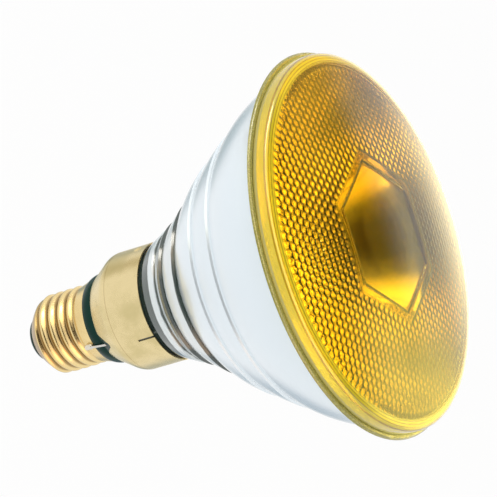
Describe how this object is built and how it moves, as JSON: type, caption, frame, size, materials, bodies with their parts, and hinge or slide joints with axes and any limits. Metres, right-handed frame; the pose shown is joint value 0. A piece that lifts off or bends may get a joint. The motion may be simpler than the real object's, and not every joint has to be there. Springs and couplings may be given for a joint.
{
  "type": "reflector flood bulb",
  "caption": "Pressed glass reflector flood bulb with a stippled yellow lens, stepped silver bowl and a skirted brass screw cap.",
  "frame": {"origin": "centre of the contact's end face, the lowest point of the cap", "axes": "+Z along the lamp's axis from the cap to the lens"},
  "size_m": [0.1246, 0.1246, 0.135],
  "materials": {
    "yellow_glass": "clear pressed glass stained yellow, stippled inside",
    "mirrored_glass": "pressed glass, mirrored inside",
    "satin_brass": "satin brass",
    "cement": "grey cement",
    "rolled_brass": "rolled brass",
    "black_glass": "dark green-black glass",
    "tinned_brass": "tinned brass",
    "solder": "bright solder",
    "tinned_wire": "tinned copper wire",
    "ferrule_steel": "sealing alloy",
    "post_steel": "nickel wire",
    "tungsten": "tungsten"
  },
  "bodies": {
    "root": {"lens": "yellow_glass", "reflector": "mirrored_glass", "skirt": "satin_brass", "skirt_cement": "cement", "screw_shell": "rolled_brass", "cap_insulator": "black_glass", "centre_contact": "tinned_brass", "contact_solder": "solder", "insulating_ring": "black_glass", "side_lead": "tinned_wire", "side_solder": "solder", "lead_ferrules": "ferrule_steel", "lead_posts": "post_steel", "filament": "tungsten", "contact_lead": "tinned_wire"}
  },
  "joints": []
}
